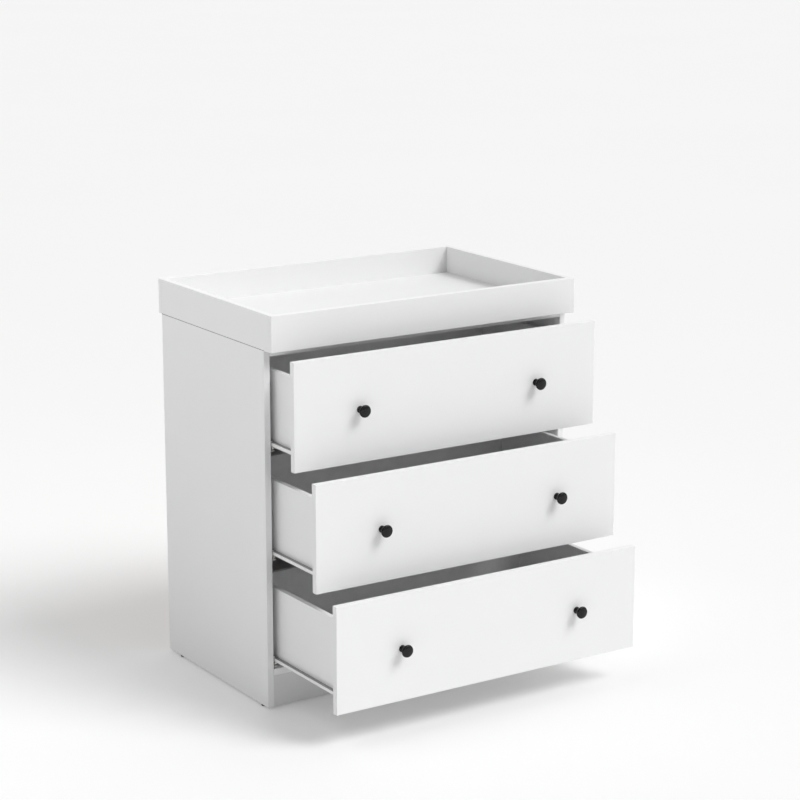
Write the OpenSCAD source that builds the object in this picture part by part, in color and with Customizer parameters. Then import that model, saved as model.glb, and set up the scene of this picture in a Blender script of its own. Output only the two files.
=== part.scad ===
// Changing table: a three-drawer cabinet with a shallow walled tray on top.
// Millimetres, +Z up, +X to the right, drawers open towards -Y.
// The origin lies on the floor, under the middle of the outline with the drawers part way out.

/* [Cabinet] */
// Overall width of the cabinet and of the tray
cabinet_w = 800; // [700:10:1000]
// Height of the side panels' top edges above the floor
cabinet_h = 812; // [780:2:850]
// Depth of the side panels
cabinet_d = 466; // [460:2:520]
// Thickness of the coated boards
board_t = 15; // [15:1:18]
// Height of the glides under the side panels
glide_h = 4; // [3:1:8]
// Height of the plinth boards under the base panel
plinth_h = 73; // [60:1:90]
// Set-back of the plinth from the side panels' front edges
plinth_setback = 2; // [0:1:20]

/* [Tray] */
// Height of the tray's walls
tray_h = 80; // [60:1:120]
// How far the tray stands out in front of the side panels
tray_front_overhang = 34; // [18:1:40]
// How far the tray stands out behind the side panels
tray_rear_overhang = 14; // [6:1:20]
// Height of the tray floor's underside above the wall bottoms
tray_floor_lift = 2; // [1:0.5:4]

/* [Drawers] */
// How far each drawer is drawn out at rest, lowest drawer first
drawer_openings = [268, 188, 103]; // [2:1:310]
// Gap between one drawer front and the next
front_gap = 5.5; // [3:0.5:8]
// Gap between the highest drawer front and the tray
tray_gap = 5; // [3:0.5:8]
// Set-back of the drawer fronts' ends from the cabinet's sides
front_side_inset = 4; // [2:1:6]
// Thickness of the drawer box boards
drawer_board_t = 12; // [10:1:13]
// Length of the drawer sides
drawer_side_len = 390; // [380:2:400]
// Height of the drawer sides
drawer_side_h = 170; // [140:2:180]
// Height of the drawer sides' lower edges above the front's lower edge
drawer_side_rise = 27; // [25:1:30]
// Thickness of the drawer bottom and of the cabinet's back panel
hardboard_t = 3; // [2.5:0.1:3.2]

/* [Knobs] */
// Distance between the two knobs of a drawer
knob_spacing = 464; // [300:4:560]
// How far the knobs sit below the middle of the front
knob_drop = 2; // [0:1:20]
// Diameter of the knob's head
knob_head_d = 28; // [24:1:36]
// Diameter of the knob's foot
knob_foot_d = 16; // [14:1:20]
// Diameter of the knob's neck
knob_neck_d = 10; // [8:0.5:12]
// How far the knob stands out from the front
knob_len = 25; // [22:1:32]

/* [Runners] */
// Length of the runner profiles
runner_len = 400; // [396:2:410]
// Gap between the drawer side and the side panel
runner_gap = 12.5; // [12.5:0.1:13]
// Diameter of the nylon rollers
roller_d = 17; // [16:0.5:17]
// Width of the nylon rollers
roller_w = 4.5; // [4:0.1:4.5]
// Sheet thickness of the runner profiles
runner_sheet = 1.2; // [1:0.1:1.2]

/* [Hidden] */
LEVELS = ["lower", "middle", "upper"];
HANDS = ["left", "right"];
CABINET_PARTS = [
    "left_side_panel", "right_side_panel", "top_panel", "base_panel", "plinth_board",
    "rear_plinth_board", "back_panel", "glides", "cam_locks", "cam_bolts", "wall_bracket",
    "wall_bracket_screws", "tray_front_wall", "tray_back_wall", "tray_left_wall",
    "tray_right_wall", "tray_floor", "tray_screws"
];
DRAWER_PARTS = [
    "drawer_front", "drawer_back", "drawer_bottom", "knob_screws", "front_rollers", "rear_rollers"
];
HANDED_PARTS = ["drawer_side", "knob", "cabinet_runner", "drawer_runner"];

$fn = 48;
eps = 0.01;

// Colours of the finishes
WHITE = [0.93, 0.93, 0.93];
HARDBOARD = [0.62, 0.52, 0.40];
BLACK = [0.08, 0.08, 0.08];
STEEL = [0.72, 0.73, 0.75];
COATED = [0.96, 0.96, 0.95];
NYLON = [0.90, 0.90, 0.87];
GLIDE = [0.25, 0.20, 0.16];
LINING = [0.87, 0.87, 0.87];

// Cabinet levels and widths
inner_w = cabinet_w - 2 * board_t;
base_z = glide_h + plinth_h;
top_z = cabinet_h - board_t;
front_low_z = base_z + 0.5;
front_h = (cabinet_h - tray_gap - front_low_z - 2 * front_gap) / 3;
front_pitch = front_h + front_gap;
front_w = cabinet_w - 2 * front_side_inset;

// Outline with the drawers at rest, and the shift that centres it on the origin
outline_front_y = -max(drawer_openings) - board_t - knob_len;
outline_rear_y = cabinet_d + tray_rear_overhang;
outline_mid_y = (outline_front_y + outline_rear_y) / 2;

// Drawer box
drawer_w = inner_w - 2 * runner_gap;
drawer_inner_w = drawer_w - 2 * drawer_board_t;
groove_play = 0.2;
groove_w = hardboard_t + 2 * groove_play;
groove_depth = 5.5;
drawer_groove_rise = 8;
bottom_edge_in_groove = 5;

// Runner levels, counted down from the upper face of the drawer runner's flange
runner_flange_rise = 12;
runner_play = 0.05;
roller_r = roller_d / 2;
front_roller_drop = runner_sheet + runner_play + roller_r;
channel_floor_drop = front_roller_drop + roller_r + 0.75;
rear_roller_drop = channel_floor_drop - roller_r - runner_play;
channel_roof_rise = 1;

// Runner widths, counted inwards from the side panel
channel_floor_w = 11;
channel_roof_w = 6;
lip_u = 3.2;
lip_t = 1;
lip_h = 7.2;
drawer_web_t = 1;
runner_foot_w = 10;
roller_u = 6.2;
axle_d = 4;
axle_head_d = 6;
axle_head_t = 0.45;
axle_shoulder_d = 7;
axle_shoulder_end = 2.8;
roller_end_play = 0.05;

// Runner places along Y, from the front edge of the side panel or the drawer front's inner face
runner_start = 3;
front_roller_y = 12;
rear_roller_y = drawer_side_len - 10;
runner_nose_y = 1;
runner_screw_places = [37, 165, 293];
runner_screw_hole_d = 4.5;

// Tray
tray_front_y = -tray_front_overhang;
tray_floor_z = cabinet_h + tray_floor_lift;

// Fasteners
screw_d = 4;
screw_hole_d = 4.1;
screw_clearance_d = 5;
board_screw_hole_d = 4.5;
pan_head_d = 8;
pan_head_h = 2.4;
tray_screw_x = 300;
tray_screw_places = [80, 380];
knob_screw_bite = 10;
tray_screw_bite = 10;
bracket_screw_bite = 14;
pilot_spare = 1;
cam_d = 15;
cam_h = 12;
cam_bore_d = 15.2;
cam_bore_depth = 12.5;
cam_inset = 34;
cam_places = [60, 400];
bolt_d = 4.9;
bolt_hole_d = 5;
bolt_thread_len = 10.5;
bolt_hole_depth = 11;
bolt_channel_d = 8.2;
bolt_collar_d = 7.6;
bolt_collar_t = 1.6;
bolt_head_d = 6.8;
bolt_head_t = 2.5;

// Back panel grooves
back_groove_y = cabinet_d - 13.7;
back_groove_depth = 5;
back_edge_in_groove = 4.5;

// Glides
glide_d = 14;
glide_nail_d = 2.5;
glide_nail_len = 12;
glide_hole_d = 2.6;
glide_places = [30, cabinet_d - 56];

// Wall bracket
bracket_w = 40;
bracket_t = 2;
bracket_screw_x = 12;
bracket_screw_z = cabinet_h - 7.5;
bracket_tie_d = 6;
bracket_tie_drop = 30.5;

// Height of a drawer front's lower edge
function front_z(level) = front_low_z + search([level], LEVELS)[0] * front_pitch;

// How far a drawer is drawn out at rest
function opening(level) = drawer_openings[search([level], LEVELS)[0]];

// Height of a drawer side's lower edge, and of its runner's flange
function drawer_side_z(level) = front_z(level) + drawer_side_rise;
function flange_z(level) = drawer_side_z(level) + runner_flange_rise;

// -1 on the left and 1 on the right
function hand_sign(hand) = hand == "left" ? -1 : 1;

// Points of an arc about [cx, cy], from angle a0 to a1
function arc(cx, cy, r, a0, a1, steps) = [
    for (i = [0:steps]) let (a = a0 + (a1 - a0) * i / steps) [cx + r * cos(a), cy + r * sin(a)]
];

// Moves a piece from the cabinet's own frame, whose zero is at the side panels' front edges
module in_cabinet() {
    translate([0, -outline_mid_y, 0]) children();
}

// Moves a piece from a drawer's own frame, whose zero is at the front's inner face
module in_drawer(level) {
    in_cabinet() translate([0, -opening(level), 0]) children();
}

// A box from its lowest corner to its highest corner
module span(low, high) {
    translate(low) cube(high - low);
}

// A round bar along X, from x0 to x1
module bar_x(x0, x1, y, z, d) {
    translate([min(x0, x1), y, z]) rotate([0, 90, 0]) cylinder(d = d, h = abs(x1 - x0));
}

// A round bar along Y, from y0 to y1
module bar_y(x, y0, y1, z, d) {
    translate([x, y1, z]) rotate([90, 0, 0]) cylinder(d = d, h = y1 - y0);
}

// A round bar along Z, from z0 to z1
module bar_z(x, y, z0, z1, d) {
    translate([x, y, z0]) cylinder(d = d, h = z1 - z0);
}

// Side panel on the right hand; the left one is its mirror image
module side_panel() {
    inner_x = inner_w / 2;
    difference() {
        span([inner_x, 0, glide_h], [cabinet_w / 2, cabinet_d, cabinet_h]);
        span([inner_x - eps, back_groove_y, base_z + board_t - back_groove_depth],
             [inner_x + back_groove_depth, back_groove_y + groove_w, top_z + back_groove_depth]);
        for (y = cam_places) for (z = [base_z, top_z]) {
            bar_x(inner_x - eps, inner_x + bolt_hole_depth, y, z + board_t / 2, bolt_hole_d);
        }
        for (y = glide_places) {
            bar_z(inner_x + board_t / 2, y, glide_h - eps, glide_h + glide_nail_len + pilot_spare,
                  glide_hole_d);
        }
    }
}

module left_side_panel() {
    color(WHITE) in_cabinet() mirror([1, 0, 0]) side_panel();
}

module right_side_panel() {
    color(WHITE) in_cabinet() side_panel();
}

// Bores for the cam locks and their bolts, in a panel whose underside is at z
module cam_bores(z) {
    for (side = [-1, 1]) for (y = cam_places) {
        bar_z(side * (inner_w / 2 - cam_inset), y, z - eps, z + cam_bore_depth, cam_bore_d);
        bar_x(side * (inner_w / 2 - cam_inset), side * (inner_w / 2 + eps), y, z + board_t / 2,
              bolt_channel_d);
    }
}

module top_panel() {
    color(WHITE) in_cabinet() difference() {
        span([-inner_w / 2, 0, top_z], [inner_w / 2, cabinet_d, cabinet_h]);
        cam_bores(top_z);
        span([-inner_w / 2 - eps, back_groove_y, top_z - eps],
             [inner_w / 2 + eps, back_groove_y + groove_w, top_z + back_groove_depth]);
        for (side = [-1, 1]) {
            for (y = tray_screw_places) {
                bar_z(side * tray_screw_x, y, top_z - eps, cabinet_h + eps, screw_clearance_d);
            }
            bar_y(side * bracket_screw_x, cabinet_d - bracket_screw_bite - pilot_spare, cabinet_d + eps,
                  bracket_screw_z, screw_hole_d);
        }
    }
}

module base_panel() {
    color(WHITE) in_cabinet() difference() {
        span([-inner_w / 2, 0, base_z], [inner_w / 2, cabinet_d, base_z + board_t]);
        cam_bores(base_z);
        span([-inner_w / 2 - eps, back_groove_y, base_z + board_t - back_groove_depth],
             [inner_w / 2 + eps, back_groove_y + groove_w, base_z + board_t + eps]);
    }
}

module plinth_board() {
    color(WHITE) in_cabinet()
        span([-inner_w / 2, plinth_setback, glide_h], [inner_w / 2, plinth_setback + board_t, base_z]);
}

module rear_plinth_board() {
    rear_y = cabinet_d - 2 * board_t;
    color(WHITE) in_cabinet() span([-inner_w / 2, rear_y - board_t, glide_h], [inner_w / 2, rear_y, base_z]);
}

module back_panel() {
    half_w = inner_w / 2 + back_edge_in_groove;
    y = back_groove_y + groove_play;
    color(HARDBOARD) in_cabinet()
        span([-half_w, y, base_z + board_t - back_edge_in_groove],
             [half_w, y + hardboard_t, top_z + back_edge_in_groove]);
}

// Nail-on glide with a rounded rim
module glide() {
    rim_r = 1.5;
    rotate_extrude() polygon(concat(
        [[0, 0]],
        arc(glide_d / 2 - rim_r, rim_r, rim_r, -90, 0, 4),
        [[glide_d / 2, glide_h], [glide_nail_d / 2, glide_h]],
        [[glide_nail_d / 2, glide_h + glide_nail_len], [0, glide_h + glide_nail_len]]
    ));
}

module glides() {
    color(GLIDE) in_cabinet() for (side = [-1, 1]) for (y = glide_places) {
        translate([side * (cabinet_w - board_t) / 2, y, 0]) glide();
    }
}

// Cam with its hook cavity and a cross slot on the lower face
module cam_lock() {
    slot_w = 1.6;
    difference() {
        cylinder(d = cam_d, h = cam_h);
        bar_x(-2, cam_d, 0, board_t / 2, bolt_channel_d);
        for (turn = [0, 90]) {
            rotate([0, 0, turn + 45]) span([-cam_d / 3, -slot_w / 2, -eps], [cam_d / 3, slot_w / 2, 1.5]);
        }
    }
}

// Cam bolt along +X: thread in the side panel at x > 0, head in the cam at x < 0
module cam_bolt() {
    shank_end = -cam_inset + 1 + bolt_head_t;
    rotate([0, 90, 0]) rotate_extrude() polygon([
        [0, -cam_inset + 1], [bolt_head_d / 2, -cam_inset + 1], [bolt_head_d / 2, shank_end],
        [bolt_d / 2, shank_end], [bolt_d / 2, -bolt_collar_t], [bolt_collar_d / 2, -bolt_collar_t],
        [bolt_collar_d / 2, 0], [bolt_d / 2, 0], [bolt_d / 2, bolt_thread_len - 1],
        [bolt_d / 2 - 1, bolt_thread_len], [0, bolt_thread_len]
    ]);
}

// Repeats a fastener at every joint of the top and base panels with the side panels
module at_cam_joints(inset, z_offset) {
    for (side = [0, 1]) for (y = cam_places) for (z = [base_z, top_z]) {
        mirror([side, 0, 0]) translate([inner_w / 2 - inset, y, z + z_offset]) children();
    }
}

module cam_locks() {
    color(STEEL) in_cabinet() at_cam_joints(cam_inset, 0) cam_lock();
}

module cam_bolts() {
    color(STEEL) in_cabinet() at_cam_joints(0, board_t / 2) cam_bolt();
}

module wall_bracket() {
    corner_r = 5;
    tongue_w = bracket_w / 2;
    bracket_top = cabinet_h - 1;
    bracket_low = bracket_top - bracket_w;
    color(STEEL) in_cabinet() translate([0, cabinet_d + bracket_t, 0]) rotate([90, 0, 0])
        linear_extrude(bracket_t) difference() {
            union() {
                translate([-bracket_w / 2, bracket_top - board_t]) square([bracket_w, board_t - 1]);
                translate([-tongue_w / 2, bracket_low + corner_r])
                    square([tongue_w, bracket_w - 2 * corner_r]);
                translate([-tongue_w / 2 + corner_r, bracket_low])
                    square([tongue_w - 2 * corner_r, tongue_w]);
                for (side = [-1, 1]) {
                    translate([side * (tongue_w / 2 - corner_r), bracket_low + corner_r]) circle(corner_r);
                }
            }
            translate([0, cabinet_h - bracket_tie_drop]) circle(d = bracket_tie_d);
            for (side = [-1, 1]) {
                translate([side * bracket_screw_x, bracket_screw_z]) circle(d = board_screw_hole_d);
            }
        }
}

// Pan-head screw along -Z, with the underside of its head at z = 0
module pan_screw(len) {
    rim_r = 1.6;
    socket_d = 2.6;
    difference() {
        rotate_extrude() polygon(concat(
            [[0, -len], [screw_d / 2 - 1, -len], [screw_d / 2, -len + 2], [screw_d / 2, 0]],
            [[pan_head_d / 2, 0]],
            arc(pan_head_d / 2 - rim_r, pan_head_h - rim_r, rim_r, 0, 90, 4),
            [[0, pan_head_h]]
        ));
        for (turn = [0, 90]) rotate([0, 0, turn])
            span([-socket_d, -0.4, pan_head_h - 1.2], [socket_d, 0.4, pan_head_h + eps]);
    }
}

module wall_bracket_screws() {
    color(STEEL) in_cabinet() for (side = [-1, 1]) {
        translate([side * bracket_screw_x, cabinet_d + bracket_t, bracket_screw_z])
            rotate([-90, 0, 0]) pan_screw(bracket_t + bracket_screw_bite);
    }
}

module tray_front_wall() {
    color(WHITE) in_cabinet()
        span([-cabinet_w / 2, tray_front_y, cabinet_h],
             [cabinet_w / 2, tray_front_y + board_t, cabinet_h + tray_h]);
}

module tray_back_wall() {
    color(WHITE) in_cabinet()
        span([-cabinet_w / 2, outline_rear_y - board_t, cabinet_h],
             [cabinet_w / 2, outline_rear_y, cabinet_h + tray_h]);
}

// End wall of the tray on the right hand; the left one is its mirror image
module tray_end_wall() {
    span([inner_w / 2, tray_front_y + board_t, cabinet_h],
         [cabinet_w / 2, outline_rear_y - board_t, cabinet_h + tray_h]);
}

module tray_left_wall() {
    color(WHITE) in_cabinet() mirror([1, 0, 0]) tray_end_wall();
}

module tray_right_wall() {
    color(WHITE) in_cabinet() tray_end_wall();
}

module tray_floor() {
    color(WHITE) in_cabinet() difference() {
        span([-inner_w / 2, tray_front_y + board_t, tray_floor_z],
             [inner_w / 2, outline_rear_y - board_t, tray_floor_z + board_t]);
        for (side = [-1, 1]) for (y = tray_screw_places) {
            bar_z(side * tray_screw_x, y, tray_floor_z - eps, tray_floor_z + tray_screw_bite + pilot_spare,
                  screw_hole_d);
        }
    }
}

module tray_screws() {
    color(STEEL) in_cabinet() for (side = [-1, 1]) for (y = tray_screw_places) {
        translate([side * tray_screw_x, y, top_z]) rotate([180, 0, 0])
            pan_screw(board_t + tray_floor_lift + tray_screw_bite);
    }
}

// Drawer front, with a groove for the bottom and a hole for each knob screw
module drawer_front(level) {
    z = front_z(level);
    groove_z = drawer_side_z(level) + drawer_groove_rise;
    color(WHITE) in_drawer(level) difference() {
        span([-front_w / 2, -board_t, z], [front_w / 2, 0, z + front_h]);
        span([-drawer_inner_w / 2 - groove_depth, -groove_depth, groove_z],
             [drawer_inner_w / 2 + groove_depth, eps, groove_z + groove_w]);
        for (side = [-1, 1]) {
            bar_y(side * knob_spacing / 2, -board_t - eps, eps, z + front_h / 2 - knob_drop,
                  board_screw_hole_d);
        }
    }
}

// Drawer side with its groove, on either hand
module drawer_side(level, hand) {
    z = drawer_side_z(level);
    groove_z = z + drawer_groove_rise;
    color(WHITE) in_drawer(level) mirror([hand == "left" ? 1 : 0, 0, 0]) difference() {
        span([drawer_inner_w / 2, 0, z], [drawer_w / 2, drawer_side_len, z + drawer_side_h]);
        span([drawer_inner_w / 2 - eps, -eps, groove_z],
             [drawer_inner_w / 2 + groove_depth, drawer_side_len + eps, groove_z + groove_w]);
    }
}

module drawer_back(level) {
    z = drawer_side_z(level);
    back_low_z = z + drawer_groove_rise + groove_w;
    color(WHITE) in_drawer(level)
        span([-drawer_inner_w / 2, drawer_side_len - drawer_board_t, back_low_z],
             [drawer_inner_w / 2, drawer_side_len, z + drawer_side_h]);
}

module drawer_bottom(level) {
    half_w = drawer_inner_w / 2 + bottom_edge_in_groove;
    z = drawer_side_z(level) + drawer_groove_rise + groove_play;
    color(LINING) in_drawer(level)
        span([-half_w, -bottom_edge_in_groove, z], [half_w, drawer_side_len, z + hardboard_t]);
}

// Mushroom knob along +Z from its foot, with a blind threaded hole
module mushroom_knob() {
    foot_r = knob_foot_d / 2;
    neck_r = knob_neck_d / 2;
    head_r = knob_head_d / 2;
    rim_r = 3;
    dome_r = 40;
    dome_edge = head_r - rim_r;
    dome_drop = dome_r - sqrt(dome_r * dome_r - dome_edge * dome_edge);
    head_z = knob_len - dome_drop - rim_r;
    difference() {
        rotate_extrude() polygon(concat(
            [[0, 0], [foot_r, 0], [foot_r, 1.2]],
            arc(foot_r - 1, 1.2, 1, 0, 60, 3),
            arc(neck_r + 4, 7.4, 4, 220, 180, 5),
            arc(neck_r + 5, 12.2, 5, 180, 128, 6),
            arc(dome_edge, head_z, rim_r, -50, 90, 10),
            [for (r = [0.8, 0.6, 0.4, 0.2, 0] * dome_edge)
                [r, knob_len - dome_r + sqrt(dome_r * dome_r - r * r)]]
        ));
        translate([0, 0, -eps]) cylinder(d = screw_hole_d, h = knob_screw_bite + 2 * pilot_spare);
    }
}

module knob(level, hand) {
    color(BLACK) in_drawer(level)
        translate([hand_sign(hand) * knob_spacing / 2, -board_t, front_z(level) + front_h / 2 - knob_drop])
            rotate([90, 0, 0]) mushroom_knob();
}

module knob_screws(level) {
    color(STEEL) in_drawer(level) for (side = [-1, 1]) {
        translate([side * knob_spacing / 2, 0, front_z(level) + front_h / 2 - knob_drop])
            rotate([-90, 0, 0]) pan_screw(board_t + knob_screw_bite);
    }
}

// Cabinet runner on the right hand, drawn from the side panel inwards: an open channel with a
// riveted axle at its front end
module cabinet_runner_profile(level) {
    z = flange_z(level);
    wall_x = inner_w / 2;
    low_z = z - channel_floor_drop - runner_sheet;
    high_z = z + channel_roof_rise + runner_sheet;
    axle_z = z - front_roller_drop;
    head_x = wall_x - roller_u - roller_w - roller_end_play;
    runner_end = runner_start + runner_len;
    difference() {
        union() {
            span([wall_x - runner_sheet, runner_start, low_z], [wall_x, runner_end, high_z]);
            span([wall_x - channel_floor_w, runner_start, low_z], [wall_x, runner_end, low_z + runner_sheet]);
            span([wall_x - channel_roof_w, runner_start, high_z - runner_sheet],
                 [wall_x, runner_end, high_z]);
            bar_x(wall_x - axle_shoulder_end, wall_x - eps, front_roller_y, axle_z, axle_shoulder_d);
            bar_x(head_x - axle_head_t, wall_x - eps, front_roller_y, axle_z, axle_d);
            bar_x(head_x - axle_head_t, head_x, front_roller_y, axle_z, axle_head_d);
        }
        for (y = runner_screw_places) {
            bar_x(wall_x - runner_sheet - eps, wall_x + eps, runner_start + y, z - channel_floor_drop / 2,
                  runner_screw_hole_d);
        }
    }
}

module cabinet_runner(level, hand) {
    color(COATED) in_cabinet() mirror([hand == "left" ? 1 : 0, 0, 0]) cabinet_runner_profile(level);
}

// Drawer runner on the right hand: foot, web, flange and lip, a nose plate in front and a riveted
// axle at the rear
module drawer_runner_profile(level) {
    z = flange_z(level);
    wall_x = inner_w / 2;
    side_x = drawer_w / 2;
    foot_z = drawer_side_z(level) - runner_sheet;
    lip_x = wall_x - lip_u;
    axle_z = z - rear_roller_drop;
    head_x = wall_x - roller_u + roller_end_play;
    difference() {
        union() {
            span([side_x - runner_foot_w, runner_nose_y, foot_z],
                 [side_x + drawer_web_t, drawer_side_len, foot_z + runner_sheet]);
            span([side_x, runner_nose_y, foot_z], [side_x + drawer_web_t, drawer_side_len, z]);
            span([side_x, runner_nose_y, z - runner_sheet], [lip_x, drawer_side_len, z]);
            span([lip_x - lip_t, runner_nose_y, z - lip_h], [lip_x, drawer_side_len, z]);
            span([side_x, runner_nose_y, foot_z], [lip_x, runner_nose_y + runner_sheet, z]);
            bar_x(side_x + eps, head_x + axle_head_t, rear_roller_y, axle_z, axle_d);
            bar_x(head_x, head_x + axle_head_t, rear_roller_y, axle_z, axle_head_d);
        }
        for (y = runner_screw_places) {
            bar_z(side_x - runner_foot_w / 2, y, foot_z - eps, foot_z + runner_sheet + eps,
                  runner_screw_hole_d);
        }
    }
}

module drawer_runner(level, hand) {
    color(COATED) in_drawer(level) mirror([hand == "left" ? 1 : 0, 0, 0]) drawer_runner_profile(level);
}

// Nylon roller about X, with a groove round each face and a running bore
module roller() {
    rim_r = 0.6;
    hub_r = 3.6;
    dish_r = roller_r - 2;
    dish = 0.7;
    rotate([0, 90, 0]) rotate_extrude() polygon(concat(
        [[axle_d / 2 + runner_play, 0], [hub_r, 0], [hub_r, dish], [dish_r, dish], [dish_r, 0]],
        arc(roller_r - rim_r, rim_r, rim_r, -90, 0, 3),
        arc(roller_r - rim_r, roller_w - rim_r, rim_r, 0, 90, 3),
        [[dish_r, roller_w], [dish_r, roller_w - dish], [hub_r, roller_w - dish], [hub_r, roller_w]],
        [[axle_d / 2 + runner_play, roller_w]]
    ));
}

// A roller on each hand, on one line across the cabinet
module roller_pair(y, z) {
    for (side = [0, 1]) mirror([side, 0, 0]) translate([inner_w / 2 - roller_u - roller_w, y, z]) roller();
}

module front_rollers(level) {
    color(NYLON) in_cabinet() roller_pair(front_roller_y, flange_z(level) - front_roller_drop);
}

module rear_rollers(level) {
    color(NYLON) in_drawer(level) roller_pair(rear_roller_y, flange_z(level) - rear_roller_drop);
}

left_side_panel();
right_side_panel();
top_panel();
base_panel();
plinth_board();
rear_plinth_board();
back_panel();
glides();
cam_locks();
cam_bolts();
wall_bracket();
wall_bracket_screws();
tray_front_wall();
tray_back_wall();
tray_left_wall();
tray_right_wall();
tray_floor();
tray_screws();
for (level = LEVELS) {
    drawer_front(level);
    drawer_back(level);
    drawer_bottom(level);
    knob_screws(level);
    front_rollers(level);
    rear_rollers(level);
    for (hand = HANDS) {
        drawer_side(level, hand);
        knob(level, hand);
        cabinet_runner(level, hand);
        drawer_runner(level, hand);
    }
}
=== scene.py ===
"""Looks of the three-drawer changing table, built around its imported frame. Metres, +Z up."""

import math

import bmesh
import bpy
from mathutils import Euler, Matrix, Vector


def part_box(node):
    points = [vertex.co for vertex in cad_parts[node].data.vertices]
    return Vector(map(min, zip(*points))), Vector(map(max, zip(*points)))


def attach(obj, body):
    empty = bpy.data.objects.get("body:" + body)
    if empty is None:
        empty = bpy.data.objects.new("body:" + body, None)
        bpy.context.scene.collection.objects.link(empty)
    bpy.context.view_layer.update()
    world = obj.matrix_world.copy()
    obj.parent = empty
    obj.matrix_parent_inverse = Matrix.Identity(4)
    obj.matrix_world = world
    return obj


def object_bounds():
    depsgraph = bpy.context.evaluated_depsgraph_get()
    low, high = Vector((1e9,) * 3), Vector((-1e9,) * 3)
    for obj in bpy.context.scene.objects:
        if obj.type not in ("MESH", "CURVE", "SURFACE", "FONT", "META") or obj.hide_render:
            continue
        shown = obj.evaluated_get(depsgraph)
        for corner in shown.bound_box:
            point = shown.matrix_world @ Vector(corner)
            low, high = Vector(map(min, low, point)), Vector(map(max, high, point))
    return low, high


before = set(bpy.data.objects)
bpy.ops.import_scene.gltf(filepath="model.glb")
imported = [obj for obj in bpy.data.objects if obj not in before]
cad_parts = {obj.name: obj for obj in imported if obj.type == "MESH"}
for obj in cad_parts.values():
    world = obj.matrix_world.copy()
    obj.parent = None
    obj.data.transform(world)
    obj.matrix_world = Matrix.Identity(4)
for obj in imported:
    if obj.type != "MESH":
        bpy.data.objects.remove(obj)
CAD_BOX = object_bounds()

MM = 0.001
LEVELS = ("lower", "middle", "upper")
HANDS = {"left": -1, "right": 1}

# Camera: its turn from the front view, its dip, and its place seen from the object's middle
CAMERA_TURN = math.radians(-33.05)
CAMERA_DIP = math.radians(13.71)
CAMERA_OFFSET = Vector((0.002, 0.182, 5.42))
CAMERA_LENS = 106.9
SENSOR_WIDTH = 36.0

# Studio: a pale sky that brightens to the right and behind, a broad soft key light from the right
# of the front with a small bright core that gives the knobs a glint, a lamp above the left side,
# and a floor that glows a little
SKY_LEVEL = 0.28
SKY_SIDES = ((Vector((1, 0, 0)), 0.60), (Vector((0, 1, 0)), 0.48))
BACKDROP_LEVEL = 0.92
KEY_DIRECTION = Vector((0.39, -0.54, 0.75))
KEY_LEVEL = 1.74
KEY_SOFTNESS = math.radians(31)
GLINT_LEVEL = 0.08
GLINT_SOFTNESS = math.radians(4)
LAMP_PLACE = Vector((-1.5, 0.2, 2.4))
LAMP_AIM = Vector((-0.4, 0.0, 0.6))
LAMP_SIZE = 1.2
LAMP_WATTS = 7.7
FLOOR_SIZE = 120.0
FLOOR_GLOW = 0.115

# Rounded arrises, and the limits for what counts as flat, sharp, on a plane or one point
BOARD_ARRIS = 0.9 * MM
SHEET_ARRIS = 0.25 * MM
FLAT_TURN = math.radians(0.5)
SHARP_TURN = math.radians(35)
ON_PLANE = 0.05 * MM
SAME_POINT = 0.001 * MM

# Where a noise turns from its dark tone to its light one
NOISE_LOW = 0.3
NOISE_HIGH = 0.7

# Profiles of small turned fittings: (radius, height) steps in millimetres
HEAD_SIDES = 32
SCREW_HEAD = ((3.25, 0.0), (3.25, 0.5), (3.05, 0.95), (2.6, 1.3), (2.0, 1.5))
COUNTERSUNK_HEAD = ((3.5, -0.6), (3.5, 0.0), (3.3, 0.15), (2.4, 0.2))
NAIL_HEAD = ((2.2, 0.0), (2.2, 0.3), (1.9, 0.55), (1.2, 0.65))
BUMPER = ((3.5, 0.0), (3.5, 0.35), (3.2, 0.8), (2.4, 1.15), (1.2, 1.35))
COVER_CAP = ((8.5, 0.0), (8.5, 0.35), (8.15, 0.75), (6.6, 0.85), (6.0, 0.65), (1.2, 0.6))

# Cross recess of a screw head: shares of the radius of its top, share left at the bottom, and its
# depth in millimetres
CROSS_ARM = 0.82
CROSS_HALF_WIDTH = 0.2
CROSS_TAPER = 0.8
CROSS_DEPTH = 0.9

# Where the small fittings sit, in millimetres: the runners' thickness, distances from the ends and
# edges of the pieces that hold the fittings, and the nails' places to either side of the middle
RUNNER_SHEET = 1.2
RUNNER_SCREW_PLACES = (37, 165, 293)
RUNNER_SCREW_RISE = 10.7
FOOT_SCREW_INSET = 5
FOOT_SCREW_SHIFT = 1
BOX_SCREW_INSET = 6
BOX_SCREW_RISES = (40, 140)
LOCK_CAP_INSET = 34
LOCK_CAP_RISES = (50, 140)
BUMPER_SIDE_INSET = 4.5
BUMPER_END_INSET = 12
NAIL_INSET = 6
NAIL_PLACES = (-300, -100, 100, 300)

# Wedges behind the back panel, in millimetres: length, where an end stops, where the slimmer middle
# starts, and the outlines of both. Then their rounding, and their places as shares of the
# cabinet's inside
WEDGE_LENGTH = 22.0
WEDGE_END = 4
WEDGE_SHOULDER = 4.6
WEDGE_FULL = ((0, 0), (11, 0), (11, 1.6), (2.2, 8.4), (0, 8.4))
WEDGE_SLIM = ((0, 0), (10, 0), (10, 1.2), (1.8, 6.6), (0, 6.6))
WEDGE_ARRIS = 0.25 * MM
WEDGE_SHARES_UP = (0.12, 0.5, 0.88)
WEDGE_SHARES_ACROSS = (0.3, 0.7)

# A near-black sheet in the joint between the side panels and the tray, painted shade of the seam:
# how far it stays behind the panel's edges, half its thickness, and its rounding
SHADE_SHEET_INSET = 0.12 * MM
SHADE_SHEET_HALF = 0.7 * MM
SHADE_SHEET_ARRIS = 0.15 * MM


# ---------------------------------------------------------------- materials

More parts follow.
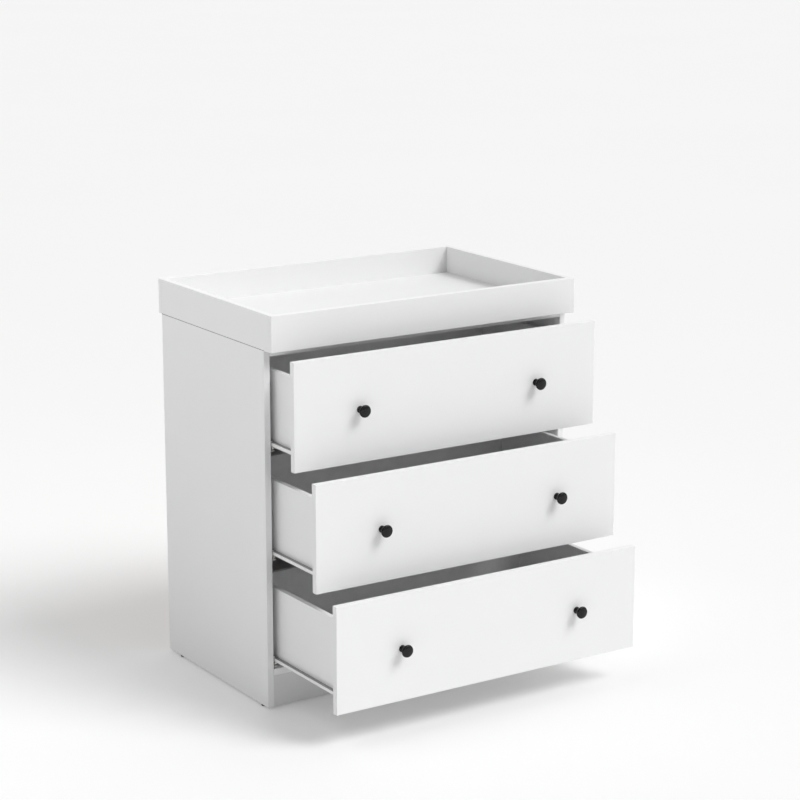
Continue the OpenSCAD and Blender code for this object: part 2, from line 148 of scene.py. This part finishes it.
class Finish:
    """A material's node tree, with short calls that add nodes and join them."""

    # Sockets of a Mix node that mixes colours
    FACTOR, FIRST, SECOND, RESULT = 0, 6, 7, 2

    def __init__(self, name, **settings):
        self.material = bpy.data.materials.new(name)
        self.material.use_nodes = True
        self.tree = self.material.node_tree
        self.shader = self.tree.nodes["Principled BSDF"]
        self.place = self.node("ShaderNodeTexCoord").outputs["Object"]
        for socket, value in settings.items():
            self.shader.inputs[socket.replace("_", " ")].default_value = value

    def node(self, kind, **values):
        """Adds a node. Values named after its inputs set them, or join them to a socket."""
        made = self.tree.nodes.new(kind)
        for name, value in values.items():
            if hasattr(made, name):
                setattr(made, name, value)
                continue
            socket = made.inputs[name.replace("_", " ")]
            if isinstance(value, bpy.types.NodeSocket):
                self.tree.links.new(value, socket)
            else:
                socket.default_value = value
        return made

    def stretched(self, x, y, z):
        """Object coordinates multiplied along each axis, for a finer or coarser pattern."""
        return self.node("ShaderNodeMapping", Vector=self.place, Scale=(x, y, z)).outputs["Vector"]

    def noise(self, scale, detail=2.0, roughness=0.5, vector=None, distortion=0.0):
        """Noise between 0 and 1, over object coordinates unless others are given."""
        made = self.node("ShaderNodeTexNoise", Scale=scale, Detail=detail, Roughness=roughness,
                         Distortion=distortion, Vector=vector or self.place)
        return made.outputs["Fac"]

    def ramp(self, factor, stops):
        """A colour ramp over (place, colour) stops, where a colour may be one grey level."""
        made = self.node("ShaderNodeValToRGB", Fac=factor)
        points = made.color_ramp.elements
        for index, (place, colour) in enumerate(stops):
            point = points[index] if index < 2 else points.new(place)
            point.position = place
            grey = isinstance(colour, (int, float))
            point.color = (colour,) * 3 + (1,) if grey else (*colour, 1)
        return made.outputs["Color"]

    def tones(self, factor, dark, light):
        """A colour ramp from a dark tone to a light one over the middle of a noise."""
        return self.ramp(factor, [(NOISE_LOW, dark), (NOISE_HIGH, light)])

    def mixed(self, factor, first, second):
        """A mix of two colours, by a number or a socket."""
        made = self.tree.nodes.new("ShaderNodeMix")
        made.data_type = "RGBA"
        for index, value in ((self.FACTOR, factor), (self.FIRST, first), (self.SECOND, second)):
            if isinstance(value, bpy.types.NodeSocket):
                self.tree.links.new(value, made.inputs[index])
            elif index == self.FACTOR:
                made.inputs[index].default_value = value
            else:
                made.inputs[index].default_value = (*value, 1)
        return made.outputs[self.RESULT]

    def colour(self, socket):
        """Joins a colour to the surface."""
        self.tree.links.new(socket, self.shader.inputs["Base Color"])

    def roughness(self, factor, low, high):
        """Lets the surface's roughness run between two values."""
        made = self.node("ShaderNodeMapRange", Value=factor, To_Min=low, To_Max=high)
        self.tree.links.new(made.outputs["Result"], self.shader.inputs["Roughness"])

    def bumps(self, *layers):
        """Bump layers of (height socket, depth in metres, strength), the coarsest first."""
        normal = None
        for height, depth, strength in layers:
            made = self.node("ShaderNodeBump", Height=height, Distance=depth, Strength=strength)
            if normal:
                self.tree.links.new(normal, made.inputs["Normal"])
            normal = made.outputs["Normal"]
        self.tree.links.new(normal, self.shader.inputs["Normal"])


def board_foil(name, tone):
    """Matt white melamine foil: faint cloudiness, fine pearl grain and slight handling marks."""
    f = Finish(name, Specular_IOR_Level=0.35)
    clouds = f.noise(5, detail=3)
    grain = f.noise(1600, detail=1)
    dull, bright, pearl = ([share * tone for share in colour] for colour in (
        (0.990, 0.992, 0.994), (1.010, 1.010, 1.008), (0.983, 0.985, 0.990)))
    f.colour(f.mixed(grain, f.tones(clouds, dull, bright), pearl))
    f.roughness(f.noise(140, detail=4, roughness=0.7), 0.42, 0.56)
    f.bumps((f.noise(9, detail=1), 0.2 * MM, 0.06), (grain, 0.04 * MM, 0.35))
    return f.material


def white_board():
    """Foil of most boards."""
    return board_foil("white_board", 0.889)


def tray_foil():
    """The tray floor's foil, painted a shade darker than the other boards as painted shade on its
    upward face.
    """
    return board_foil("tray_foil", 0.85)


def edge_band():
    """White edging strip: the board's colour, a fine grain, and slow waves of its press roller."""
    f = Finish("edge_band", Specular_IOR_Level=0.45)
    grain = f.noise(2600, detail=2)
    waves = f.noise(24, detail=2)
    whites = f.ramp(waves, [(0.35, (0.872, 0.874, 0.876)), (0.65, (0.892, 0.892, 0.890))])
    f.colour(f.mixed(grain, whites, (0.858, 0.860, 0.864)))
    f.roughness(waves, 0.30, 0.42)
    f.bumps((waves, 0.1 * MM, 0.12), (grain, 0.03 * MM, 0.3))
    return f.material


def plinth_foil():
    """The plinth's plainer foil, painted greyer than the other boards as painted shade under the
    drawers, and scuffed by shoes and brooms.
    """
    f = Finish("plinth_foil", Specular_IOR_Level=0.3)
    scuffs = f.noise(1, detail=4, roughness=0.7, vector=f.stretched(30, 30, 140))
    grain = f.noise(1600, detail=1)
    greys = f.tones(scuffs, (0.72, 0.722, 0.724), (0.76, 0.76, 0.758))
    f.colour(f.mixed(grain, greys, (0.715, 0.717, 0.72)))
    f.roughness(scuffs, 0.48, 0.62)
    f.bumps((scuffs, 0.05 * MM, 0.15), (grain, 0.04 * MM, 0.35))
    return f.material


def chipboard():
    """Raw particle board, seen in grooves, bores and cut ends: pressed chips in several tans."""
    f = Finish("chipboard", Specular_IOR_Level=0.2)
    chips = f.node("ShaderNodeTexVoronoi", Scale=420.0, Randomness=1.0, Vector=f.place)
    chip_tone = f.node("ShaderNodeSeparateColor", Color=chips.outputs["Color"]).outputs["Red"]
    fibres = f.noise(1800, detail=4, roughness=0.7)
    tans = f.ramp(chip_tone, [(0.0, (0.33, 0.22, 0.12)), (0.45, (0.53, 0.38, 0.23)),
                              (1.0, (0.68, 0.53, 0.35))])
    f.colour(f.mixed(fibres, tans, (0.46, 0.34, 0.22)))
    f.roughness(fibres, 0.8, 0.95)
    f.bumps((chips.outputs["Distance"], 0.5 * MM, 0.5), (fibres, 0.2 * MM, 0.4))
    return f.material


def drawer_lining():
    """Pale linen-look lining foil: two sets of crossing threads with uneven tone."""
    f = Finish("drawer_lining", Specular_IOR_Level=0.3)
    threads = [f.noise(1, detail=2, roughness=0.6, vector=f.stretched(*scale))
               for scale in ((900, 60, 900), (60, 900, 60))]
    cloth = f.mixed(0.5, f.ramp(threads[0], [(0.35, 0.2), (0.65, 0.8)]),
                    f.ramp(threads[1], [(0.35, 0.2), (0.65, 0.8)]))
    tone = f.ramp(cloth, [(0.25, (0.77, 0.77, 0.774)), (0.75, (0.87, 0.87, 0.872))])
    f.colour(f.mixed(f.noise(4, detail=2), tone, (0.82, 0.82, 0.823)))
    f.roughness(cloth, 0.55, 0.72)
    f.bumps((cloth, 0.08 * MM, 0.4))
    return f.material


def hardboard():
    """Brown hardboard: pressed fibres with darker specks."""
    f = Finish("hardboard", Specular_IOR_Level=0.3)
    fibres = f.noise(260, detail=6, roughness=0.75, distortion=1.5)
    specks = f.ramp(f.noise(900, detail=2), [(0.28, 0.0), (0.36, 1.0)])
    browns = f.ramp(fibres, [(0.3, (0.20, 0.115, 0.058)), (0.55, (0.30, 0.185, 0.10)),
                             (0.8, (0.38, 0.25, 0.145))])
    f.colour(f.mixed(specks, (0.12, 0.07, 0.04), browns))
    f.roughness(fibres, 0.55, 0.75)
    f.bumps((fibres, 0.15 * MM, 0.4))
    return f.material


def painted_hardboard():
    """White-lacquered side of the hardboard, with its fibres just showing through."""
    f = Finish("painted_hardboard", Specular_IOR_Level=0.35)
    fibres = f.noise(300, detail=4, roughness=0.7)
    f.colour(f.tones(fibres, (0.80, 0.80, 0.795), (0.85, 0.85, 0.848)))
    f.roughness(fibres, 0.45, 0.6)
    f.bumps((fibres, 0.08 * MM, 0.35))
    return f.material


def black_knob():
    """Black baked lacquer on turned metal: glossy, with slight orange peel."""
    f = Finish("black_knob", Specular_IOR_Level=0.3)
    peel = f.noise(900, detail=2)
    f.colour(f.tones(f.noise(160, detail=3), (0.005, 0.005, 0.0055), (0.009, 0.009, 0.0095)))
    f.roughness(f.noise(220, detail=3, roughness=0.7), 0.07, 0.15)
    f.bumps((peel, 0.03 * MM, 0.3))
    return f.material


def zinc_steel():
    """Zinc-plated steel: cloudy crystals and slightly uneven gloss."""
    f = Finish("zinc_steel", Metallic=1.0)
    clouds = f.noise(700, detail=4, roughness=0.7)
    f.colour(f.tones(clouds, (0.50, 0.51, 0.54), (0.70, 0.70, 0.69)))
    f.roughness(clouds, 0.24, 0.42)
    f.bumps((f.noise(2500, detail=2), 0.02 * MM, 0.3))
    return f.material


def coated_steel():
    """White epoxy coat on rolled steel: orange peel and a soft gloss."""
    f = Finish("coated_steel", Specular_IOR_Level=0.5, Coat_Weight=0.2, Coat_Roughness=0.2)
    peel = f.noise(1100, detail=2)
    f.colour(f.tones(f.noise(60, detail=3), (0.84, 0.84, 0.835), (0.88, 0.88, 0.876)))
    f.roughness(f.noise(300, detail=2), 0.28, 0.4)
    f.bumps((peel, 0.05 * MM, 0.3))
    return f.material


def runner_track():
    """Top of a drawer runner's flange, painted mid-grey as painted shade of the dark line beside
    the drawer side, with lines along Y.
    """
    f = Finish("runner_track", Specular_IOR_Level=0.3)
    lines = f.noise(1, detail=3, roughness=0.7, vector=f.stretched(1400, 30, 1400))
    clouds = f.noise(90, detail=3)
    greys = f.tones(clouds, (0.30, 0.30, 0.30), (0.38, 0.38, 0.378))
    f.colour(f.mixed(lines, greys, (0.27, 0.27, 0.272)))
    f.roughness(lines, 0.45, 0.62)
    f.bumps((lines, 0.03 * MM, 0.4))
    return f.material


def painted_joint_shade():
    """Near-black sheet in the tray joint, painted shade of the seam, with short matted fibres."""
    f = Finish("painted_joint_shade", Specular_IOR_Level=0.1, Sheen_Weight=0.3)
    fibres = f.noise(1500, detail=6, roughness=0.8, distortion=2.0)
    f.colour(f.tones(fibres, (0.06, 0.06, 0.062), (0.13, 0.13, 0.132)))
    f.roughness(fibres, 0.9, 1.0)
    f.bumps((fibres, 0.3 * MM, 0.6))
    return f.material


def nylon():
    """Natural nylon: milky, with faint turned rings."""
    f = Finish("nylon", Specular_IOR_Level=0.45, Subsurface_Weight=0.15, Subsurface_Scale=1.5 * MM)
    haze = f.noise(500, detail=3)
    f.colour(f.tones(haze, (0.76, 0.75, 0.70), (0.82, 0.81, 0.77)))
    f.roughness(haze, 0.35, 0.5)
    f.bumps((f.noise(1800, detail=2), 0.03 * MM, 0.3))
    return f.material


def glide_plastic():
    """Dark moulded plastic of the glides, scuffed matt."""
    f = Finish("glide_plastic", Specular_IOR_Level=0.4)
    scuffs = f.noise(900, detail=4, roughness=0.8)
    f.colour(f.tones(scuffs, (0.035, 0.028, 0.022), (0.065, 0.052, 0.042)))
    f.roughness(scuffs, 0.45, 0.75)
    f.bumps((scuffs, 0.05 * MM, 0.4))
    return f.material


def cap_plastic():
    """White moulded plastic of the cover caps and wedges, with a fine spark-eroded grain."""
    f = Finish("cap_plastic", Specular_IOR_Level=0.45)
    grain = f.noise(1500, detail=3)
    f.colour(f.tones(f.noise(300, detail=2), (0.78, 0.78, 0.775), (0.83, 0.83, 0.825)))
    f.roughness(grain, 0.35, 0.5)
    f.bumps((grain, 0.03 * MM, 0.4))
    return f.material


def bumper_gel():
    """Milky stick-on bumper."""
    f = Finish("bumper_gel", Specular_IOR_Level=0.5, Subsurface_Weight=0.4, Subsurface_Scale=2 * MM)
    haze = f.noise(700, detail=2)
    f.colour(f.tones(haze, (0.68, 0.69, 0.70), (0.76, 0.77, 0.78)))
    f.roughness(haze, 0.18, 0.3)
    f.bumps((haze, 0.03 * MM, 0.2))
    return f.material


def studio_floor():
    """Matt pale studio floor with the faintest tone changes."""
    f = Finish("studio_floor", Specular_IOR_Level=0.1, Emission_Color=(1, 1, 1, 1),
               Emission_Strength=FLOOR_GLOW)
    f.colour(f.tones(f.noise(0.7, detail=3), (0.846, 0.846, 0.846), (0.854, 0.854, 0.854)))
    f.roughness(f.noise(60, detail=3), 0.85, 0.95)
    f.bumps((f.noise(400, detail=2), 0.05 * MM, 0.1))
    return f.material


FINISHES = {make.__name__: make() for make in (
    white_board, tray_foil, edge_band, plinth_foil, chipboard, drawer_lining, hardboard,
    painted_hardboard, black_knob, zinc_steel, coated_steel, runner_track, painted_joint_shade, nylon,
    glide_plastic, cap_plastic, bumper_gel, studio_floor)}


# ---------------------------------------------------------------- the CAD pieces

def facing(polygon, low, high):
    """The side of its box that a face lies on, such as "-Y", or "core" for grooves and bores."""
    axis = max(range(3), key=lambda i: abs(polygon.normal[i]))
    positive = polygon.normal[axis] > 0
    plane = high[axis] if positive else low[axis]
    tilted = abs(polygon.normal[axis]) < math.cos(FLAT_TURN)
    if tilted or abs(polygon.center[axis] - plane) > ON_PLANE:
        return "core"
    return ("+" if positive else "-") + "XYZ"[axis]


def finish_faces(node, main, by_side):
    """Gives a CAD node its main finish, and the faces of the named sides theirs."""
    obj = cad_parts[node]
    low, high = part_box(node)
    names = [main] + sorted(set(by_side.values()) - {main})
    obj.data.materials.clear()
    for name in names:
        obj.data.materials.append(FINISHES[name])
    picks = [names.index(by_side.get(facing(p, low, high), main)) for p in obj.data.polygons]
    obj.data.polygons.foreach_set("material_index", picks)


def round_arrises(node, width, segments=2):
    """Rounds a CAD node's sharp edges with modifiers, which leave its own mesh as it is."""
    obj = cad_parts[node]
    weld = obj.modifiers.new("weld", "WELD")
    weld.merge_threshold = SAME_POINT
    flat = obj.modifiers.new("flat", "DECIMATE")
    flat.decimate_type = "DISSOLVE"
    flat.angle_limit = FLAT_TURN
    flat.delimit = {"MATERIAL"}
    bevel = obj.modifiers.new("arris", "BEVEL")
    bevel.width = width
    bevel.segments = segments
    bevel.limit_method = "ANGLE"
    bevel.angle_limit = SHARP_TURN
    bevel.use_clamp_overlap = False
    bevel.harden_normals = True


def edges_of(*sides):
    """The named sides, each with the edging strip."""
    return {side: "edge_band" for side in sides}


def dress_cabinet():
    """Boards of the cabinet and tray: foil on the faces, edging in front, raw cut ends behind."""
    raw_behind = {"core": "chipboard", "+Y": "chipboard"}
    boards = {
        "left_side_panel": {**raw_behind, **edges_of("-Y", "+Z", "-Z")},
        "right_side_panel": {**raw_behind, **edges_of("-Y", "+Z", "-Z")},
        "top_panel": {**raw_behind, **edges_of("-Y")},
        "base_panel": {**raw_behind, **edges_of("-Y")},
        "tray_front_wall": edges_of("-X", "+X", "+Z", "-Z"),
        "tray_back_wall": edges_of("-X", "+X", "+Z", "-Z"),
        "tray_left_wall": edges_of("+Z", "-Z"),
        "tray_right_wall": edges_of("+Z", "-Z"),
        # The tray floor's top takes a darker foil as painted shade.
        "tray_floor": {"core": "chipboard", "+Z": "tray_foil"},
    }
    for node, by_side in boards.items():
        finish_faces(node, "white_board", by_side)
        round_arrises(node, BOARD_ARRIS)
    # The plinth boards are painted greyer than the other boards: painted shade under the drawers.
    for node in ("plinth_board", "rear_plinth_board"):
        finish_faces(node, "plinth_foil", {})
        round_arrises(node, BOARD_ARRIS)
    finish_faces("back_panel", "hardboard", {"-Y": "painted_hardboard"})
    round_arrises("back_panel", SHEET_ARRIS)


def dress_drawer(level):
    """Boards of one drawer, white outside and lined with pale linen foil inside."""
    finish_faces(f"{level}_drawer_front", "white_board",
                 {"core": "chipboard", **edges_of("-X", "+X", "-Z", "+Z")})
    finish_faces(f"{level}_drawer_back", "white_board", {"-Y": "drawer_lining", "-Z": "chipboard"})
    finish_faces(f"{level}_drawer_bottom", "drawer_lining",
                 {"-Z": "painted_hardboard", "+Y": "painted_hardboard"})
    for hand, sign in HANDS.items():
        inner = "+X" if sign < 0 else "-X"
        finish_faces(f"{level}_{hand}_drawer_side", "white_board",
                     # The lining foil wraps over the sides' top edges; its slightly darker tone
                     # there also stands in as painted shade under the drawer above.
                     {inner: "drawer_lining", "+Z": "drawer_lining",
                      "core": "chipboard", "+Y": "chipboard"})
        round_arrises(f"{level}_{hand}_drawer_side", BOARD_ARRIS)
    for part in ("front", "back"):
        round_arrises(f"{level}_drawer_{part}", BOARD_ARRIS)
    round_arrises(f"{level}_drawer_bottom", SHEET_ARRIS)


def dress_fittings():
    """Knobs, runners, rollers, glides and fasteners."""
    for node in ("cam_locks", "cam_bolts", "wall_bracket", "wall_bracket_screws", "tray_screws"):
        finish_faces(node, "zinc_steel", {})
    round_arrises("wall_bracket", SHEET_ARRIS)
    finish_faces("glides", "glide_plastic", {})
    for level in LEVELS:
        finish_faces(f"{level}_knob_screws", "zinc_steel", {})
        for end in ("front", "rear"):
            finish_faces(f"{level}_{end}_rollers", "nylon", {})
        for hand in HANDS:
            finish_faces(f"{level}_{hand}_knob", "black_knob", {})
            finish_faces(f"{level}_{hand}_cabinet_runner", "coated_steel", {})
            # The flanges' tops take a grey finish as painted shade: the dark line beside the drawer
            # sides.
            finish_faces(f"{level}_{hand}_drawer_runner", "coated_steel", {"+Z": "runner_track"})
            for host in ("cabinet", "drawer"):
                round_arrises(f"{level}_{hand}_{host}_runner", SHEET_ARRIS)


# ---------------------------------------------------------------- small fittings

def pointing(place, direction):
    """Takes a shape drawn along +Z in millimetres to a place in metres and to a direction."""
    turn = Vector(direction).to_track_quat("Z", "Y").to_matrix().to_4x4()
    return Matrix.Translation(place) @ turn @ Matrix.Scale(MM, 4)


def ring(mesh, placing, radius, height):
    """A round of vertices at a height."""
    turns = [2 * math.pi * i / HEAD_SIDES for i in range(HEAD_SIDES)]
    return [mesh.verts.new(placing @ Vector((radius * math.cos(t), radius * math.sin(t), height)))
            for t in turns]


def skin(mesh, lower, upper):
    """Joins two closed outlines of equally many points with four-sided faces."""
    for i, start in enumerate(lower):
        mesh.faces.new((lower[i - 1], start, upper[i], upper[i - 1]))


def turned(mesh, placing, profile, closed=True):
    """A turned shape from (radius, height) steps; gives its last ring."""
    rings = [ring(mesh, placing, radius, height) for radius, height in profile]
    for lower, upper in zip(rings, rings[1:]):
        skin(mesh, lower, upper)
    mesh.faces.new(rings[0])
    if closed:
        mesh.faces.new(rings[-1])
    return rings[-1]


def cross_headed(mesh, placing, profile):
    """A screw head from (radius, height) steps, with a tapered cross recess in its top."""
    rim = turned(mesh, placing, profile, closed=False)
    radius, height = profile[-1]
    arm, half = CROSS_ARM * radius, CROSS_HALF_WIDTH * radius
    quarter = ((arm, -half), (arm, half), (half, half))
    outline = [(c * x - s * y, s * x + c * y)
               for c, s in ((1, 0), (0, 1), (-1, 0), (0, -1)) for x, y in quarter]
    top = [mesh.verts.new(placing @ Vector((x, y, height))) for x, y in outline]
    bottom = [mesh.verts.new(placing @ Vector((CROSS_TAPER * x, CROSS_TAPER * y,
                                               height - CROSS_DEPTH))) for x, y in outline]
    skin(mesh, bottom, top)
    mesh.faces.new(bottom)
    borders = [mesh.edges.get((loop[i - 1], loop[i]))
               for loop in (rim, top) for i in range(len(loop))]
    bmesh.ops.triangle_fill(mesh, edges=borders, use_beauty=True)


def add_piece(name, mesh, body, finish):
    """Turns a bmesh into a piece that rides on a body and takes its finish from a record slot."""
    bmesh.ops.recalc_face_normals(mesh, faces=mesh.faces)
    data = bpy.data.meshes.new(name)
    mesh.to_mesh(data)
    mesh.free()
    data.polygons.foreach_set("use_smooth", [True] * len(data.polygons))
    data.set_sharp_from_angle(angle=SHARP_TURN)
    data.materials.append(FINISHES[finish])
    piece = bpy.data.objects.new(name, data)
    bpy.context.scene.collection.objects.link(piece)
    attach(piece, body)


def add_row(name, body, finish, build, profile, places, direction):
    """One piece made of equal small fittings, all pointing the same way."""
    mesh = bmesh.new()
    for place in places:
        build(mesh, pointing(place, direction), profile)
    add_piece(name, mesh, body, finish)


def add_runner_screws(level, hand):
    """Screws of a cabinet runner, in its channel, and of a drawer runner, under its foot."""
    sign = HANDS[hand]
    low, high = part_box(f"{level}_{hand}_cabinet_runner")
    wall_x = (high.x if sign > 0 else low.x) - sign * RUNNER_SHEET * MM
    places = [Vector((wall_x, low.y + y * MM, low.z + RUNNER_SCREW_RISE * MM))
              for y in RUNNER_SCREW_PLACES]
    add_row(f"{level}_{hand}_cabinet_runner_screws", "cabinet", "zinc_steel",
            cross_headed, SCREW_HEAD, places, (-sign, 0, 0))
    low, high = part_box(f"{level}_{hand}_drawer_runner")
    foot_x = (low.x if sign > 0 else high.x) + sign * FOOT_SCREW_INSET * MM
    places = [Vector((foot_x, low.y + (y - FOOT_SCREW_SHIFT) * MM, low.z))
              for y in RUNNER_SCREW_PLACES]
    add_row(f"{level}_{hand}_drawer_runner_screws", f"{level}_drawer", "zinc_steel",
            cross_headed, SCREW_HEAD, places, (0, 0, -1))


def add_box_fittings(level, hand):
    """Countersunk screws into the drawer's back, and caps over the locks that hold its front."""
    sign = HANDS[hand]
    body = f"{level}_drawer"
    low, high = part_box(f"{level}_{hand}_drawer_side")
    outer_x, inner_x = (high.x, low.x) if sign > 0 else (low.x, high.x)
    places = [Vector((outer_x, high.y - BOX_SCREW_INSET * MM, low.z + z * MM))
              for z in BOX_SCREW_RISES]
    add_row(f"{level}_{hand}_box_screws", body, "zinc_steel", cross_headed,
            COUNTERSUNK_HEAD, places, (sign, 0, 0))
    places = [Vector((inner_x, low.y + LOCK_CAP_INSET * MM, low.z + z * MM))
              for z in LOCK_CAP_RISES]
    add_row(f"{level}_{hand}_lock_caps", body, "cap_plastic", turned, COVER_CAP, places,
            (-sign, 0, 0))


def add_front_fittings(level):
    """Bumpers behind the drawer front's corners, and nails through the bottom into the back."""
    body = f"{level}_drawer"
    low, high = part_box(f"{level}_drawer_front")
    side, end = BUMPER_SIDE_INSET * MM, BUMPER_END_INSET * MM
    places = [Vector((x, high.y, z)) for x in (low.x + side, high.x - side)
              for z in (low.z + end, high.z - end)]
    add_row(f"{level}_bumpers", body, "bumper_gel", turned, BUMPER, places, (0, 1, 0))
    low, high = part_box(f"{level}_drawer_bottom")
    places = [Vector((x * MM, high.y - NAIL_INSET * MM, low.z)) for x in NAIL_PLACES]
    add_row(f"{level}_bottom_nails", body, "zinc_steel", turned, NAIL_HEAD, places,
            (0, 0, -1))


def add_wedge(mesh, corner, first, second):
    """A plastic wedge in a corner, slimmer in its middle, with a leg along each direction."""
    first, second = Vector(first), Vector(second)
    along = first.cross(second)
    half = WEDGE_LENGTH / 2
    steps = ((-half, WEDGE_FULL), (WEDGE_END - half, WEDGE_FULL),
             (WEDGE_SHOULDER - half, WEDGE_SLIM), (half - WEDGE_SHOULDER, WEDGE_SLIM),
             (half - WEDGE_END, WEDGE_FULL), (half, WEDGE_FULL))
    outlines = [[mesh.verts.new(corner + (along * z + first * x + second * y) * MM)
                 for x, y in outline] for z, outline in steps]
    for lower, upper in zip(outlines, outlines[1:]):
        skin(mesh, lower, upper)
    mesh.faces.new(outlines[0])
    mesh.faces.new(outlines[-1])


def add_back_wedges():
    """Plastic wedges that press the back panel against its grooves from behind."""
    rear_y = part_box("back_panel")[1].y
    left_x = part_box("left_side_panel")[1].x
    right_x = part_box("right_side_panel")[0].x
    base_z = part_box("base_panel")[1].z
    top_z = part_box("top_panel")[0].z
    rearwards = (0, 1, 0)
    mesh = bmesh.new()
    for share in WEDGE_SHARES_UP:
        z = base_z + share * (top_z - base_z)
        add_wedge(mesh, Vector((left_x, rear_y, z)), (1, 0, 0), rearwards)
        add_wedge(mesh, Vector((right_x, rear_y, z)), (-1, 0, 0), rearwards)
    for share in WEDGE_SHARES_ACROSS:
        x = left_x + share * (right_x - left_x)
        add_wedge(mesh, Vector((x, rear_y, base_z)), (0, 0, 1), rearwards)
        add_wedge(mesh, Vector((x, rear_y, top_z)), (0, 0, -1), rearwards)
    bmesh.ops.bevel(mesh, geom=mesh.edges[:], offset=WEDGE_ARRIS, segments=1, affect="EDGES")
    add_piece("back_wedges", mesh, "cabinet", "cap_plastic")


def add_painted_joint_shade(hand):
    """A near-black sheet between a side panel and the tray: painted shade, seen as a thin line in
    the joint.
    """
    low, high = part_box(f"{hand}_side_panel")
    left, right = low.x + SHADE_SHEET_INSET, high.x - SHADE_SHEET_INSET
    front, rear = low.y + SHADE_SHEET_INSET, high.y - SHADE_SHEET_INSET
    outline = [(left, front), (right, front), (right, rear), (left, rear)]
    mesh = bmesh.new()
    loops = [[mesh.verts.new((x, y, z)) for x, y in outline]
             for z in (high.z - SHADE_SHEET_HALF, high.z + SHADE_SHEET_HALF)]
    skin(mesh, *loops)
    for loop in loops:
        mesh.faces.new(loop)
    bmesh.ops.bevel(mesh, geom=mesh.edges[:], offset=SHADE_SHEET_ARRIS, segments=2, affect="EDGES")
    add_piece(f"{hand}_felt_tape", mesh, "cabinet", "painted_joint_shade")


# ---------------------------------------------------------------- studio

def make_floor():
    """A pale floor that reaches far beyond the picture."""
    bpy.ops.mesh.primitive_plane_add(size=FLOOR_SIZE)
    floor = bpy.context.active_object
    floor.name = "studio_floor"
    floor.data.materials.append(FINISHES["studio_floor"])


def calculate(tree, operation, first, second):
    """The outcome of a sum on numbers or sockets, as a socket."""
    made = tree.nodes.new("ShaderNodeMath")
    made.operation = operation
    for socket, value in zip(made.inputs, (first, second)):
        if isinstance(value, bpy.types.NodeSocket):
            tree.links.new(value, socket)
        else:
            socket.default_value = value
    return made.outputs["Value"]


def make_sky():
    """An even white sky with a soft extra glow from the sides that SKY_SIDES names. Where it is
    seen past the floor's edge, it is a plain pale backdrop."""
    world = bpy.data.worlds.new("studio")
    world.use_nodes = True
    tree = world.node_tree
    direction = tree.nodes.new("ShaderNodeTexCoord").outputs["Generated"]
    level = SKY_LEVEL
    for side, strength in SKY_SIDES:
        towards = tree.nodes.new("ShaderNodeVectorMath")
        towards.operation = "DOT_PRODUCT"
        towards.inputs[1].default_value = side * strength
        tree.links.new(direction, towards.inputs[0])
        glow = calculate(tree, "MAXIMUM", towards.outputs["Value"], 0.0)
        level = calculate(tree, "ADD", glow, level)
    seen = tree.nodes.new("ShaderNodeLightPath").outputs["Is Camera Ray"]
    unseen = calculate(tree, "SUBTRACT", 1.0, seen)
    level = calculate(tree, "ADD", calculate(tree, "MULTIPLY", level, unseen),
                      calculate(tree, "MULTIPLY", seen, BACKDROP_LEVEL))
    sky = tree.nodes["Background"]
    sky.inputs["Color"].default_value = (1, 1, 1, 1)
    tree.links.new(level, sky.inputs["Strength"])
    bpy.context.scene.world = world


def add_light(name, kind, place, towards_light, **settings):
    """A light at a place, shining against the direction that leads towards it."""
    light = bpy.data.lights.new(name, kind)
    for setting, value in settings.items():
        setattr(light, setting, value)
    lamp = bpy.data.objects.new(name, light)
    lamp.location = place
    lamp.rotation_euler = towards_light.to_track_quat("Z", "Y").to_euler()
    lamp.visible_camera = False
    bpy.context.scene.collection.objects.link(lamp)


def make_lights():
    """The sky, the key light with its bright core, and the lamp above the left side."""
    make_sky()
    add_light("key", "SUN", (0, 0, 0), KEY_DIRECTION, energy=KEY_LEVEL, angle=KEY_SOFTNESS)
    add_light("glint", "SUN", (0, 0, 0), KEY_DIRECTION, energy=GLINT_LEVEL, angle=GLINT_SOFTNESS)
    add_light("lamp", "AREA", LAMP_PLACE, LAMP_PLACE - LAMP_AIM, shape="SQUARE", size=LAMP_SIZE,
              energy=LAMP_WATTS)


def make_camera():
    """The camera, placed from the middle of the CAD box."""
    low, high = CAD_BOX
    turn = Euler((math.pi / 2 - CAMERA_DIP, 0, CAMERA_TURN))
    lens = bpy.data.cameras.new("camera")
    lens.lens = CAMERA_LENS
    lens.sensor_width = SENSOR_WIDTH
    camera = bpy.data.objects.new("camera", lens)
    camera.location = (low + high) / 2 + turn.to_matrix() @ CAMERA_OFFSET
    camera.rotation_euler = turn
    bpy.context.scene.collection.objects.link(camera)
    bpy.context.scene.camera = camera


dress_cabinet()
for drawer_level in LEVELS:
    dress_drawer(drawer_level)
dress_fittings()
for drawer_level in LEVELS:
    add_front_fittings(drawer_level)
    for drawer_hand in HANDS:
        add_runner_screws(drawer_level, drawer_hand)
        add_box_fittings(drawer_level, drawer_hand)
add_back_wedges()
for panel_hand in HANDS:
    # A dark sheet in each tray joint, as painted shade of the seam.
    add_painted_joint_shade(panel_hand)
make_floor()
make_lights()
make_camera()
bpy.context.scene.view_settings.view_transform = "Standard"
